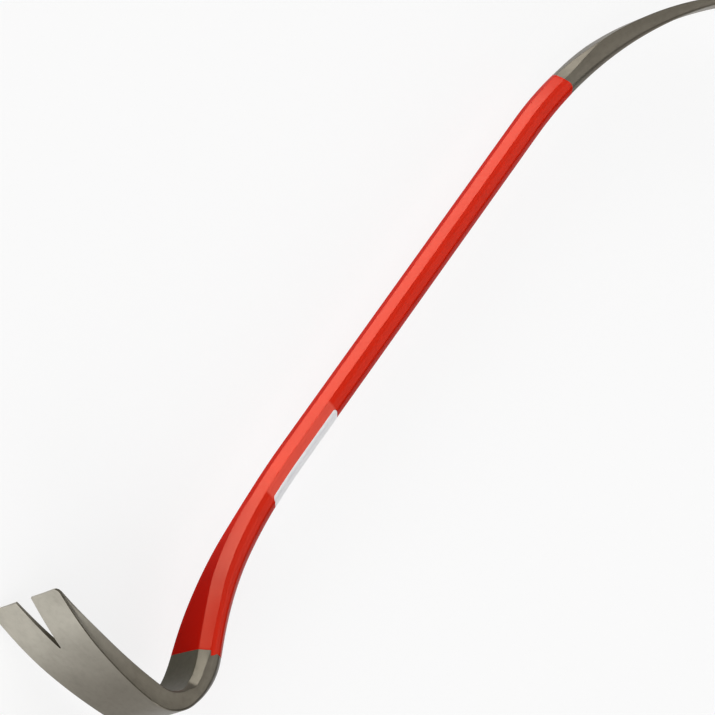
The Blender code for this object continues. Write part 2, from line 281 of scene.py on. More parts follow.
HOOK_START, HOOK_MIDDLE, CLAW_ROOT, CLAW_TIP = lengths_to(CLAW_PATH)[2:]
HOOK_TURN = HOOK_START + HOOK_TURN_PLACE * (HOOK_MIDDLE - HOOK_START)
CHISEL_TIP = lengths_to(CHISEL_PATH)[-1]
CHISEL_BEVEL = CHISEL_TIP - CHISEL_BEVEL_LENGTH
STOCK = Section(SHANK_DEPTH, SHANK_WIDTH, SHANK_CHAMFER, SHANK_CHAMFER)


def tip_section(depth, width):
    return Section(depth, width, TIP_CHAMFER_SHARE * depth, TIP_CHAMFER_SHARE * depth)


CLAW_FORM = [
    (0.0, STOCK),
    (NECK_FLARE_START, STOCK),
    (HOOK_START, Section(NECK_END_DEPTH, NECK_END_WIDTH, NECK_END_CHAMFER, NECK_END_CHAMFER)),
    (HOOK_TURN, Section(HOOK_TURN_DEPTH, HOOK_TURN_WIDTH, NECK_END_CHAMFER, HOOK_TURN_CHAMFER)),
    (HOOK_MIDDLE, Section(HOOK_DEPTH, HOOK_WIDTH, HOOK_INNER_CHAMFER, HOOK_OUTER_CHAMFER)),
    (CLAW_ROOT, Section(CLAW_ROOT_DEPTH, CLAW_ROOT_WIDTH, SHARP_CHAMFER, SHARP_CHAMFER)),
    (
        CLAW_ROOT + CLAW_LENGTH / 2,
        Section(CLAW_MIDDLE_DEPTH, (CLAW_ROOT_WIDTH + CLAW_TIP_WIDTH) / 2, SHARP_CHAMFER, SHARP_CHAMFER),
    ),
    (CLAW_TIP, tip_section(CLAW_TIP_DEPTH, CLAW_TIP_WIDTH)),
]
CHISEL_FORM = [
    (0.0, STOCK),
    (CHISEL_FACET_START, Section(CHISEL_START_DEPTH, CHISEL_START_WIDTH, SHANK_CHAMFER, CHISEL_START_CHAMFER)),
    (CHISEL_FACET_LENGTH, Section(CHISEL_FACET_DEPTH, CHISEL_FACET_WIDTH, SHARP_CHAMFER, CHISEL_FACET_CHAMFER)),
    (CHISEL_BEVEL, Section(CHISEL_BEVEL_DEPTH, CHISEL_TIP_WIDTH, SHARP_CHAMFER, SHARP_CHAMFER)),
    (CHISEL_TIP, tip_section(CHISEL_TIP_DEPTH, CHISEL_TIP_WIDTH)),
]


def place(path, distance, along):
    """The point and the heading at a distance out from the shank's end; along is 1 towards +X and -1 towards -X."""
    point = Vector((along * SHANK_LENGTH / 2, 0.0))
    heading = 0.0
    for length, curvature in path:
        run = min(length, distance)
        turn = curvature * run
        chord = run if curvature == 0 else 2 * math.sin(turn / 2) / curvature
        middle = heading + turn / 2
        point += chord * Vector((along * math.cos(middle), math.sin(middle)))
        heading += turn
        distance -= run
        if distance <= 0:
            break
    return point, heading


def slopes(places, values):
    """A slope for each row that keeps the curve between rows from overshooting them."""
    steps = [(b - a) / (q - p) for a, b, p, q in zip(values, values[1:], places, places[1:])]
    inner = [0.0 if a * b <= 0 else 2 * a * b / (a + b) for a, b in zip(steps, steps[1:])]
    return [0.0] + inner + [steps[-1]]


def blended(form, distance):
    """The form's values at a distance, by smooth curves through its rows that never overshoot them."""
    places = [place_along for place_along, _ in form]
    distance = min(max(distance, places[0]), places[-1])
    index = max(i for i in range(len(form) - 1) if i == 0 or distance >= places[i])
    low, high = places[index], places[index + 1]
    span = high - low
    t = (distance - low) / span
    mixed = []
    for values in zip(*[row for _, row in form]):
        tangent = slopes(places, values)
        rise = values[index + 1] - values[index]
        mixed.append(
            values[index]
            + t * t * (3 - 2 * t) * rise
            + span * t * (1 - t) * ((1 - t) * tangent[index] - t * tangent[index + 1])
        )
    return mixed


def section_at(form, distance):
    return Section(*blended([(place_along, section.values) for place_along, section in form], distance))


class Station:
    """A cross-section by its distance along the centre line: negative to the claw, positive to the chisel."""

    def __init__(self, distance):
        out = abs(distance) - SHANK_LENGTH / 2
        along = 1 if distance > 0 else -1
        path, form = (CHISEL_PATH, CHISEL_FORM) if distance > 0 else (CLAW_PATH, CLAW_FORM)
        self.point, heading = place(path, max(out, 0.0), along)
        self.point.x += along * min(out, 0.0)
        self.inward = Vector((-along * math.sin(heading), math.cos(heading)))
        self.outward = Vector((along * math.cos(heading), math.sin(heading)))
        self.section = STOCK if out <= 0 else section_at(form, out)
        if along < 0 and out > 0:
            self.section.hand = [value * MM for value in blended(NECK_HAND, out / MM)]
        into_round = out - CLAW_TIP + TIP_ROUND
        if along < 0 and into_round > 0:
            depth, width, inner, outer = self.section.values
            cut = TIP_ROUND - math.sqrt(max(TIP_ROUND**2 - into_round**2, 0.0))
            self.section.values = (depth, width - 2 * cut, inner, outer)
        self.sweep = 0.0
        if along < 0 and out > CLAW_TIP - SLOT_LENGTH:
            self.sweep = ((out - CLAW_TIP + SLOT_LENGTH) / SLOT_LENGTH) ** 2

    def position(self, inward, up):
        """A point of the section in space; towards the claw's tip the ring bows back."""
        from_middle = (2 * up / self.section.values[1]) ** 2
        back = self.sweep * (TIP_MIDDLE_SWEEP + (CLAW_TIP_SWEEP - TIP_MIDDLE_SWEEP) * from_middle)
        flat = self.point + inward * self.inward - back * self.outward
        return Vector((flat.x, flat.y, up))


def spread(stretches):
    """Even marks along stretches of (start, end, longest step)."""
    marks = []
    for start, end, step in stretches:
        count = max(1, math.ceil((end - start) / step))
        marks += [start + (end - start) * i / count for i in range(count)]
    return marks + [stretches[-1][1]]


END = SHANK_LENGTH / 2
TIP_MARKS = [
    -END - CLAW_TIP + TIP_ROUND * (1 - math.cos(math.radians(TIP_MARK_ANGLE * i)))
    for i in range(round(90.0 / TIP_MARK_ANGLE))
]
DISTANCES = TIP_MARKS + spread(
    [
        (-END - CLAW_TIP + TIP_ROUND, -END - CLAW_ROOT, CLAW_STEP),
        (-END - CLAW_ROOT, -END - HOOK_START, HOOK_STEP),
        (-END - HOOK_START, -END, NECK_STEP),
        (-END, END, SHANK_STEP),
        (END, END + CHISEL_BEVEL, CHISEL_STEP),
        (END + CHISEL_BEVEL, END + CHISEL_TIP, CHISEL_BEVEL_LENGTH / BEVEL_STEPS),
    ]
)
PAINT_START = -END - PAINT_ON_NECK
PAINT_END = END + PAINT_ON_CHISEL


class Surface:
    """Collects rows of points into a mesh with a UV map: distance along the bar, and distance round it, in metres."""

    def __init__(self, name):
        self.name = name
        self.builder = bmesh.new()
        self.uv = self.builder.loops.layers.uv.new("bar")

    def row(self, points, along):
        """points are (position, distance round the bar)."""
        return [(self.builder.verts.new(p), along[i], girth) for i, (p, girth) in enumerate(points)]

    def face(self, corners):
        made = self.builder.faces.new([corner[0] for corner in corners])
        for loop, corner in zip(made.loops, corners):
            loop[self.uv].uv = (corner[1], corner[2])

    def bridge(self, first, second, girth=None):
        """Quads between two rows; a girth, even 0.0, closes them into a tube, with the seam's far side there."""
        count = len(first)
        for i in range(count - 1 if girth is None else count):
            j = (i + 1) % count
            a, b, c, d = first[i], first[j], second[j], second[i]
            if j == 0:
                b = (b[0], b[1], b[2] + girth)
                c = (c[0], c[1], c[2] + girth)
            self.face((a, b, c, d))

    def finish(self):
        bmesh.ops.recalc_face_normals(self.builder, faces=self.builder.faces)
        if self.builder.calc_volume(signed=True) < 0:
            bmesh.ops.reverse_faces(self.builder, faces=self.builder.faces)
        mesh = bpy.data.meshes.new(self.name)
        self.builder.to_mesh(mesh)
        self.builder.free()
        return new_object(self.name, mesh)


def new_object(name, mesh):
    mesh.shade_smooth()
    mesh.set_sharp_from_angle(angle=math.radians(SHARP_ANGLE))
    obj = bpy.data.objects.new(name, mesh)
    bpy.context.scene.collection.objects.link(obj)
    return obj


def ring(station, offset=0.0):
    """(position, distance round the section's outline) of each point of a section."""
    outline = station.section.outline(offset)
    girth = 0.0
    points = []
    previous = None
    for a, b, _ in outline:
        if previous:
            girth += math.dist((a, b), previous)
        previous = (a, b)
        points.append((station.position(a, b), girth))
    return points


def girth_of(points):
    return points[-1][1] + (points[-1][0] - points[0][0]).length


def slot_outline(wider):
    """Points (back from the claw's tip, up) round the nail slot, each side moved out by a margin."""
    half_angle = math.atan2(SLOT_MOUTH / 2 - SLOT_ROOT_RADIUS, SLOT_LENGTH)
    root_centre = SLOT_LENGTH - SLOT_ROOT_RADIUS
    root_radius = SLOT_ROOT_RADIUS + wider
    outline = []
    for step in range(SLOT_ROOT_STEPS + 1):
        angle = -math.pi / 2 + half_angle + (math.pi - 2 * half_angle) * step / SLOT_ROOT_STEPS
        outline.append((root_centre + root_radius * math.cos(angle), root_radius * math.sin(angle)))
    beyond = SLOT_LENGTH / 4
    side = SLOT_MOUTH / 2 + beyond * math.tan(half_angle) + wider / math.cos(half_angle)
    return outline + [(-beyond, side), (-beyond, -side)]


def closed_pairs(outline):
    return zip(outline, outline[1:] + outline[:1])


def subdivided(outline, counts):
    """The closed outline with each of its sides cut into that many even steps."""
    points = []
    for (start, end), count in zip(closed_pairs(outline), counts):
        points += [tuple(Vector(start).lerp(Vector(end), step / count)) for step in range(count)]
    return points


def build_slot():
    """The wedge that cuts the nail slot: upright by the outer face, flaring out to the inner one."""
    surface = Surface("slot_cutter")
    tip = Station(-END - CLAW_TIP)
    middle = Station(-END - CLAW_TIP + SLOT_LENGTH / 2)
    upright = slot_outline(0.0)
    flared = slot_outline(CLAW_ROOT_DEPTH / math.tan(math.radians(SLOT_BEVEL_ANGLE)))
    counts = [max(1, round(math.dist(start, end) / SLOT_STEP)) for start, end in closed_pairs(upright)]
    upright = subdivided(upright, counts)
    flared = subdivided(flared, counts)
    edge_levels = []
    for back, _ in upright:
        station = Station(-END - CLAW_TIP + max(back, 0.0))
        outer_face = station.point - station.section.values[0] / 2 * station.inward
        share = min(max(back / SLOT_LENGTH, 0.0), 1.0)
        edge = SLOT_TIP_EDGE + (SLOT_ROOT_EDGE - SLOT_TIP_EDGE) * share
        edge_levels.append((outer_face - tip.point).dot(middle.inward) + edge)
    below = -CLAW_ROOT_DEPTH - SLOT_LENGTH / 2
    levels = [
        (upright, [below] * len(upright)),
        (upright, edge_levels),
        (flared, [level + CLAW_ROOT_DEPTH for level in edge_levels]),
    ]
    rows = []
    for outline, heights in levels:
        points = []
        along = []
        for (back, up), height in zip(outline, heights):
            flat = tip.point + height * middle.inward - back * middle.outward
            points.append((Vector((flat.x, flat.y, up)), height))
            along.append(-END - CLAW_TIP + back)
        rows.append(surface.row(points, along))
    for first, second in zip(rows, rows[1:]):
        surface.bridge(first, second, girth=0.0)
    surface.face(rows[0])
    surface.face(list(reversed(rows[-1])))
    return surface.finish()


def build_bar():
    """The forging, drawn in a little where the enamel lies, with the nail slot cut and its edges eased."""
    surface = Surface("bar")
    recess = PAINT_PROUD - PAINT_DEPTH
    rows = []
    for distance in DISTANCES:
        inside = min(distance - PAINT_START, PAINT_END - distance)
        share = min(max((inside - MASK_REACH) / MASK_REACH, 0.0), 1.0)
        points = ring(Station(distance), recess * share)
        rows.append((surface.row(points, [distance] * len(points)), girth_of(points)))
    for (first, girth), (second, _) in zip(rows, rows[1:]):
        surface.bridge(first, second, girth)
    surface.face(rows[0][0])
    surface.face(list(reversed(rows[-1][0])))
    bar = surface.finish()
    cutter = build_slot()
    cut = bar.modifiers.new("nail_slot", "BOOLEAN")
    cut.operation = "DIFFERENCE"
    cut.solver = "EXACT"
    cut.object = cutter
    ease = bar.modifiers.new("eased_edges", "BEVEL")
    ease.width = EASE_WIDTH
    ease.segments = EASE_STEPS
    ease.limit_method = "ANGLE"
    ease.angle_limit = math.radians(EASE_ANGLE)
    bpy.context.view_layer.update()
    graph = bpy.context.evaluated_depsgraph_get()
    mesh = bpy.data.meshes.new_from_object(bar.evaluated_get(graph))
    old = [bar.data, cutter.data]
    bpy.data.objects.remove(bar)
    bpy.data.objects.remove(cutter)
    for data in old:
        bpy.data.meshes.remove(data)
    return new_object("bar", mesh)


def mask_at(mask, corner):
    """How far the paint line is moved at a place round the section."""
    for (low, first), (high, second) in zip(mask, mask[1:]):
        if corner <= high:
            return (first + (second - first) * (corner - low) / (high - low)) * MM
    return 0.0


def paint_row(surface, distance, offset):
    """One row of the coat; near its ends each point keeps to the masked line."""
    outline = STOCK.outline()
    points = []
    along = []
    girth = 0.0
    previous = None
    for index, (_, _, corner) in enumerate(outline):
        from_neck = max(0.0, 1 - (distance - PAINT_START) / MASK_REACH)
        from_chisel = max(0.0, 1 - (PAINT_END - distance) / MASK_REACH)
        moved = distance - from_neck * mask_at(NECK_MASK, corner) + from_chisel * mask_at(CHISEL_MASK, corner)
        station = Station(moved)
        a, b, _ = station.section.outline(offset)[index]
        if previous:
            girth += math.dist((a, b), previous)
        previous = (a, b)
        points.append((station.position(a, b), girth))
        along.append(moved)
    return surface.row(points, along), girth_of(points)


def build_paint():
    """The enamel as a thin sleeve whose ends thin out to a soft lip."""
    surface = Surface("enamel")
    lips = [(0.0, -LIP_SUNK), (LIP_BEND * PAINT_LIP, LIP_BEND_HEIGHT * PAINT_PROUD), (PAINT_LIP, PAINT_PROUD)]
    near_neck = [
        PAINT_START + PAINT_LIP + (MASK_REACH - PAINT_LIP) * i / MASK_STEPS for i in range(1, MASK_STEPS + 1)
    ]
    near_chisel = [PAINT_START + PAINT_END - d for d in reversed(near_neck)]
    inner = [d for d in DISTANCES if near_neck[-1] < d < near_chisel[0]]
    stations = [(PAINT_START + d, offset) for d, offset in lips]
    stations += [(d, PAINT_PROUD) for d in near_neck + inner + near_chisel]
    stations += [(PAINT_END - d, offset) for d, offset in reversed(lips)]
    outside = [paint_row(surface, d, offset) for d, offset in stations]
    inside = [paint_row(surface, d, PAINT_PROUD - PAINT_DEPTH - PAINT_SUNK) for d, _ in stations]
    for rows in (outside, inside):
        for (first, girth), (second, _) in zip(rows, rows[1:]):
            surface.bridge(first, second, girth)
    surface.bridge(outside[0][0], inside[0][0], outside[0][1])
    surface.bridge(outside[-1][0], inside[-1][0], outside[-1][1])
    return surface.finish()


def resampled(outline, trim, count):
    """Points (a, b, distance along) at even steps along an open outline, less a trim at both of its ends."""
    reached = [0.0]
    for before, point in zip(outline, outline[1:]):
        reached.append(reached[-1] + math.dist(before, point))
    points = []
    for step in range(count + 1):
        goal = trim + (reached[-1] - 2 * trim) * step / count
        index = max(i for i in range(len(outline) - 1) if i == 0 or reached[i] <= goal)
        share = (goal - reached[index]) / (reached[index + 1] - reached[index])
        between = Vector(outline[index]).lerp(Vector(outline[index + 1]), share)
        points.append((between.x, between.y, goal))
    return points


def build_label():
    """The sticker: a thin film with round corners, wrapped round the side away from the claw."""
    surface = Surface("sticker")
    start = -END + LABEL_FROM_NECK
    end = start + LABEL_LENGTH
    corner_marks = []
    for step in range(LABEL_CORNER_STEPS + 1):
        angle = math.radians(90) * step / LABEL_CORNER_STEPS
        corner_marks.append((LABEL_CORNER * (1 - math.cos(angle)), LABEL_CORNER * (1 - math.sin(angle))))
    straight = LABEL_LENGTH - 2 * LABEL_CORNER
    marks = [(start + along, margin) for along, margin in corner_marks]
    marks += [(start + LABEL_CORNER + straight * i / LABEL_ROWS, 0.0) for i in range(1, LABEL_ROWS)]
    marks += [(end - along, margin) for along, margin in reversed(corner_marks)]

    def row(distance, offset, margin):
        station = Station(distance)
        outline = [(a, b) for a, b, corner in STOCK.outline(offset) if 2.0 <= corner <= 5.0]
        first = (SOFT_RADIUS - EDGE_RADIUS) * math.tan(math.radians(22.5)) - LABEL_ON_SIDE + margin
        path = resampled(outline, first, LABEL_STEPS)
        points = [(station.position(a, b), girth) for a, b, girth in path]
        return surface.row(points, [distance] * len(points))

    floor = PAINT_PROUD + LABEL_CLEAR
    under = [row(d, floor, m) for d, m in marks]
    over = [row(d, floor + LABEL_THICKNESS, m) for d, m in marks]
    for sheet in (under, over):
        for first, second in zip(sheet, sheet[1:]):
            surface.bridge(first, second)
    for edge in (0, -1):
        surface.bridge(under[edge], over[edge])
        surface.bridge([r[edge] for r in under], [r[edge] for r in over])
    return surface.finish()


class Nodes:
    """A material's node tree, with its shader and its output."""

    def __init__(self, name):
        self.material = bpy.data.materials.new(name)
        self.material.use_nodes = True
        self.tree = self.material.node_tree
        self.tree.nodes.clear()
        self.shader = self.add("ShaderNodeBsdfPrincipled")
        self.output = self.add("ShaderNodeOutputMaterial")
        self.tree.links.new(self.shader.outputs["BSDF"], self.output.inputs["Surface"])

    def add(self, kind, inputs=None, **settings):
        """A node; an input takes a number, a colour or another node's socket."""
        made = self.tree.nodes.new(kind)
        for key, value in settings.items():
            setattr(made, key, value)
        self.feed(made, inputs or {})
        return made

    def feed(self, made, inputs):
        for key, value in inputs.items():
            socket = made.inputs[key]
            if isinstance(value, bpy.types.NodeSocket):
                self.tree.links.new(value, socket)
            else:
                socket.default_value = value

    def noise(self, vector, scale, detail=3.0, roughness=0.5, stretch=None):
        """A noise pattern between 0 and 1; a stretch scales its vector first."""
        if stretch:
            vector = self.add("ShaderNodeMapping", {"Vector": vector, "Scale": stretch}).outputs["Vector"]
        made = self.add(
            "ShaderNodeTexNoise", {"Vector": vector, "Scale": scale, "Detail": detail, "Roughness": roughness}
        )
        return made.outputs["Fac"]

    def ramp(self, value, stops):
        """A blend between stops of (place, colour)."""
        made = self.add("ShaderNodeValToRGB", {"Fac": value})
        elements = made.color_ramp.elements
        while len(elements) < len(stops):
            elements.new(0.5)
        for element, (place_on, colour) in zip(elements, stops):
            element.position = place_on
            element.color = colour
        return made.outputs["Color"]

    def fit(self, value, low, high, to_low, to_high):
        """The value carried from one range to another, and held at its ends."""
        made = self.add(
            "ShaderNodeMapRange",
            {"Value": value, "From Min": low, "From Max": high, "To Min": to_low, "To Max": to_high},
        )
        return made.outputs["Result"]

    def math(self, operation, first, second):
        made = self.add("ShaderNodeMath", {0: first, 1: second}, operation=operation)
        return made.outputs["Value"]

    def blend(self, share, first, second, kind="MIX"):
        made = self.add("ShaderNodeMix", data_type="RGBA", blend_type=kind)
        for socket, value in ((made.inputs[0], share), (made.inputs[6], first), (made.inputs[7], second)):
            if isinstance(value, bpy.types.NodeSocket):
                self.tree.links.new(value, socket)
            else:
                socket.default_value = value
        return made.outputs[2]

    def on_bar(self):
        """The bar's map, the distance along the bar, the way that the surface faces, and how squarely it faces up."""
        mapped = self.add("ShaderNodeUVMap", uv_map="bar").outputs["UV"]
        distance = self.add("ShaderNodeSeparateXYZ", {"Vector": mapped}).outputs["X"]
        normal = self.add("ShaderNodeTexCoord").outputs["Normal"]
        facing = self.add("ShaderNodeSeparateXYZ", {"Vector": normal})
        upright = self.math("ABSOLUTE", facing.outputs["Z"], 0.0)
        return mapped, distance, facing, upright

    def bump(self, height, distance, strength, normal=None):
        inputs = {"Height": height, "Distance": distance, "Strength": strength}
        if normal:
            inputs["Normal"] = normal
        return self.add("ShaderNodeBump", inputs).outputs["Normal"]


# Windows in the way that a surface faces. How squarely it faces up or down: 0 on the narrow flats, about 0.7 on the
# chamfers and 1 on the sides. The last one is along Y, for the faces turned away from the claw's side.
FLAT_WINDOW = (0.15, 0.45)
SIDE_WINDOW = (0.86, 0.97)
ENAMEL_SIDE_WINDOW = (0.8, 0.96)
MARGIN_SIDE_WINDOW = (0.8, 0.9)
BACK_WINDOW = (-0.6, -0.3)

# A painted highlight: the claw's colour is brighter toward its tips, between these shares of its length from them, and
# less so on its sides.
TIP_HIGHLIGHT_STEEL = (0.43, 0.405, 0.345, 1.0)
TIP_HIGHLIGHT_START = 0.86
TIP_HIGHLIGHT_FULL = 0.25
TIP_HIGHLIGHT_POWER = 1.5
TIP_HIGHLIGHT_SIDE_WINDOW = (0.5, 0.9)
TIP_HIGHLIGHT_ON_SIDES = 0.45
# Painted shade: a dark tone inside the hook, ending this far short of the claw's root, not on the sides.
HOOK_SHADE = (0.056, 0.050, 0.031, 1.0)
HOOK_SHADE_BEFORE_ROOT = 8.0 * MM
HOOK_SIDE_WINDOW = (0.25, 0.95)
# The same painted shade in the nail slot, fading out between these distances from the middle, and along the claw's
# edges.
SLOT_SHADE = (0.052, 0.046, 0.033, 1.0)
SLOT_HALF_WINDOW = (11.0 * MM, 13.0 * MM)
SLOT_WALL_WINDOW = (0.3, 0.5)
SLOT_SHADE_AT_TIP = 0.3
SLOT_SHADE_FULL = 0.7
CLAW_EDGE_WINDOW = (0.2, 0.4)
CLAW_SHADE_FADE = 4.0 * MM
# Painted light: the sides' colour is brighter than the rest by this factor.
SIDE_PAINTED_LIGHT = 1.22
# The steel's metal, specular and coat, each from clean to fully dulled, which darkens it as painted shade: under the
# dark tones, and on the chisel's narrow flats and back faces.
STEEL_METAL = (0.9, 0.35)
STEEL_SPECULAR = (0.5, 0.1)
STEEL_COAT = (0.15, 0.0)
# Painted shade: the enamel is a deeper red inside the neck's bend on faces turned towards the claw's side, between
# these distances past the shank's end.
SHADED_RED = (0.37, 0.004, 0.0006, 1.0)
SHADE_START = 20.0 * MM
SHADE_FULL = 110.0 * MM
# A painted sheen: a lighter red beside the sticker on the sides, standing for the reflection of its clear margin, and
# how softly it ends.
MARGIN_SHEEN_RED = (0.82, 0.085, 0.055, 1.0)
MARGIN_FADE = 1.0 * MM
# In the photograph the narrow flats, the back chamfers and the sides reflect less (shares of the full gloss), and the
# first two are also given a deeper colour as painted shade (shares of the shaded red).
ENAMEL_SPECULAR = 0.19
ENAMEL_METAL = 0.04
EDGE_GLOSS = 0.04
BACK_GLOSS = 0.08
SIDE_GLOSS = 0.6
EDGE_SHADE = 0.5
BACK_SHADE = 0.55


def grey(value):
    return (value, value, value, 1.0)


def steel():
    """Forged steel under a thin clear lacquer: mottled, with faint drawing lines, a painted highlight brightening the
    claw, painted shade in the hook, the slot and along the claw's edges, and painted light on the sides.
    """
    nodes = Nodes("lacquered_steel")
    place_in = nodes.add("ShaderNodeTexCoord").outputs["Object"]
    mapped, distance, facing, upright = nodes.on_bar()
    clouds = nodes.noise(place_in, 38.0, 4.0, 0.55)
    mottle = nodes.noise(place_in, 260.0, 5.0, 0.6)
    grain = nodes.noise(place_in, 1500.0, 3.0, 0.6)
    lines = nodes.noise(mapped, 1.0, 3.0, 0.55, stretch=(45.0, 1800.0, 1.0))
    base = nodes.ramp(
        clouds,
        [(0.3, (0.129, 0.114, 0.087, 1.0)), (0.52, (0.140, 0.124, 0.095, 1.0)), (0.72, (0.147, 0.131, 0.101, 1.0))],
    )
    tip = -END - CLAW_TIP
    # Painted highlight: the claw's colour brightens toward its tips.
    tip_highlight = nodes.fit(distance, tip + TIP_HIGHLIGHT_START * CLAW_LENGTH, tip + TIP_HIGHLIGHT_FULL * CLAW_LENGTH, 0.0, 1.0)
    tip_highlight = nodes.math("POWER", tip_highlight, TIP_HIGHLIGHT_POWER)
    tip_highlight = nodes.math("MULTIPLY", tip_highlight, nodes.fit(clouds, 0.3, 0.7, 0.8, 1.1))
    tip_highlight = nodes.math("MULTIPLY", tip_highlight, nodes.fit(upright, *TIP_HIGHLIGHT_SIDE_WINDOW, 1.0, TIP_HIGHLIGHT_ON_SIDES))
    base = nodes.blend(tip_highlight, base, TIP_HIGHLIGHT_STEEL)
    # Painted shade inside the hook; the variable scale carries this painted shade.
    scale = nodes.fit(distance, -END - CLAW_ROOT + HOOK_SHADE_BEFORE_ROOT, -END - HOOK_MIDDLE, 0.0, 1.0)
    scale = nodes.math("MULTIPLY", scale, nodes.fit(upright, *HOOK_SIDE_WINDOW, 1.0, 0.0))
    scale = nodes.math("MULTIPLY", scale, nodes.fit(distance, -END - PAINT_ON_NECK, -END, 1.0, 0.0))
    base = nodes.blend(scale, base, HOOK_SHADE)
    # Painted shade on the nail slot's walls and along the claw's edges.
    off_plane = nodes.add("ShaderNodeSeparateXYZ", {"Vector": place_in}).outputs["Z"]
    off_plane = nodes.math("ABSOLUTE", nodes.math("SUBTRACT", off_plane, SEAT.z), 0.0)
    claw = nodes.fit(distance, -END - CLAW_ROOT, -END - CLAW_ROOT - CLAW_SHADE_FADE, 0.0, 1.0)
    wall = nodes.fit(off_plane, *SLOT_HALF_WINDOW, 1.0, 0.0)
    wall = nodes.math("MULTIPLY", wall, nodes.fit(upright, *SLOT_WALL_WINDOW, 0.0, 1.0))
    from_tip = nodes.fit(distance, tip, tip + SLOT_SHADE_FULL * SLOT_LENGTH, SLOT_SHADE_AT_TIP, 1.0)
    wall = nodes.math("MULTIPLY", wall, from_tip)
    edge = nodes.fit(upright, *CLAW_EDGE_WINDOW, 0.0, 1.0)
    edge = nodes.math("MULTIPLY", edge, nodes.fit(upright, *SIDE_WINDOW, 1.0, 0.0))
    dark = nodes.math("MULTIPLY", claw, nodes.math("MAXIMUM", wall, edge))
    base = nodes.blend(dark, base, SLOT_SHADE)
    # The chisel's narrow flats and back faces, dulled below as painted shade.
    back = nodes.fit(facing.outputs["Y"], *BACK_WINDOW, 1.0, 0.0)
    narrow = nodes.math("MAXIMUM", nodes.fit(upright, *FLAT_WINDOW, 1.0, 0.0), back)
    narrow = nodes.math("MULTIPLY", narrow, nodes.fit(distance, END, END + CHISEL_FACET_START, 0.0, 1.0))
    shade_dulling = nodes.math("MAXIMUM", nodes.math("MAXIMUM", scale, dark), narrow)
    # Painted light: the sides' colour is brightened.
    base = nodes.blend(nodes.fit(upright, *SIDE_WINDOW, 0.0, 1.0), base, grey(SIDE_PAINTED_LIGHT), "MULTIPLY")
    spots = nodes.ramp(mottle, [(0.34, grey(0.88)), (0.5, grey(0.99)), (0.68, grey(1.03))])
    colour = nodes.blend(0.5, base, spots, "MULTIPLY")
    colour = nodes.blend(0.3, colour, nodes.ramp(lines, [(0.3, grey(0.86)), (0.62, grey(1.05))]), "MULTIPLY")
    rough = nodes.fit(mottle, 0.3, 0.7, 0.44, 0.38)
    normal = nodes.bump(clouds, 0.4 * MM, 0.2)
    normal = nodes.bump(mottle, 0.03 * MM, 0.4, normal)
    normal = nodes.bump(lines, 0.02 * MM, 0.35, normal)
    normal = nodes.bump(grain, 0.01 * MM, 0.4, normal)
    nodes.feed(
        nodes.shader,
        {
            "Base Color": colour,
            "Metallic": nodes.fit(shade_dulling, 0.0, 1.0, *STEEL_METAL),
            "Roughness": rough,
            "Normal": normal,
            "Specular IOR Level": nodes.fit(shade_dulling, 0.0, 1.0, *STEEL_SPECULAR),
            "Coat Weight": nodes.fit(shade_dulling, 0.0, 1.0, *STEEL_COAT),
            "Coat Roughness": 0.25,
            "Coat IOR": 1.5,
        },
    )
    return nodes.material


def enamel():
    """Glossy red enamel with a fine orange peel."""
    nodes = Nodes("red_enamel")
    place_in = nodes.add("ShaderNodeTexCoord").outputs["Object"]
    clouds = nodes.noise(place_in, 30.0, 3.0, 0.5)
    peel = nodes.noise(place_in, 420.0, 2.0, 0.45)
    dust = nodes.noise(place_in, 1700.0, 2.0, 0.5)
    colour = nodes.ramp(clouds, [(0.3, (0.682, 0.0150, 0.0024, 1.0)), (0.7, (0.720, 0.0170, 0.0030, 1.0))])
    _, distance, facing, upright = nodes.on_bar()
    # Painted shade: a deeper red in the neck's bend, on the narrow flats and on the back chamfers.
    painted_shade = nodes.fit(distance, -END - SHADE_START, -END - SHADE_FULL, 0.0, 1.0)
    painted_shade = nodes.math("MULTIPLY", painted_shade, nodes.fit(facing.outputs["Y"], 0.0, 0.95, 0.0, 1.0))
    painted_shade = nodes.math("MAXIMUM", painted_shade, nodes.fit(upright, *FLAT_WINDOW, EDGE_SHADE, 0.0))
    painted_shade = nodes.math("MAXIMUM", painted_shade, nodes.fit(facing.outputs["Y"], *BACK_WINDOW, BACK_SHADE, 0.0))
    colour = nodes.blend(painted_shade, colour, SHADED_RED)
    # Painted sheen: a lighter red beside the sticker on the sides.
    start = -END + LABEL_FROM_NECK
    end = start + LABEL_LENGTH
    margin = nodes.fit(distance, start - MARGIN_FADE, start + MARGIN_FADE, 0.0, 1.0)
    margin = nodes.math("MULTIPLY", margin, nodes.fit(distance, end - MARGIN_FADE, end + MARGIN_FADE, 1.0, 0.0))
    margin = nodes.math("MULTIPLY", margin, nodes.fit(upright, *MARGIN_SIDE_WINDOW, 0.0, 1.0))
    colour = nodes.blend(margin, colour, MARGIN_SHEEN_RED)
    gloss = nodes.fit(upright, *FLAT_WINDOW, EDGE_GLOSS, 1.0)
    gloss = nodes.math("MULTIPLY", gloss, nodes.fit(upright, *ENAMEL_SIDE_WINDOW, 1.0, SIDE_GLOSS))
    gloss = nodes.math("MULTIPLY", gloss, nodes.fit(facing.outputs["Y"], *BACK_WINDOW, BACK_GLOSS, 1.0))
    rough = nodes.fit(dust, 0.3, 0.7, 0.19, 0.25)
    normal = nodes.bump(peel, 0.05 * MM, 0.35)
    normal = nodes.bump(dust, 0.008 * MM, 0.3, normal)
    nodes.feed(
        nodes.shader,
        {
            "Base Color": colour,
            "Roughness": rough,
            "Normal": normal,
            "IOR": 1.5,
            "Specular IOR Level": nodes.math("MULTIPLY", gloss, ENAMEL_SPECULAR),
            "Specular Tint": (1.0, 0.9, 0.6, 1.0),
            "Metallic": nodes.math("MULTIPLY", gloss, ENAMEL_METAL),
        },
    )
    return nodes.material


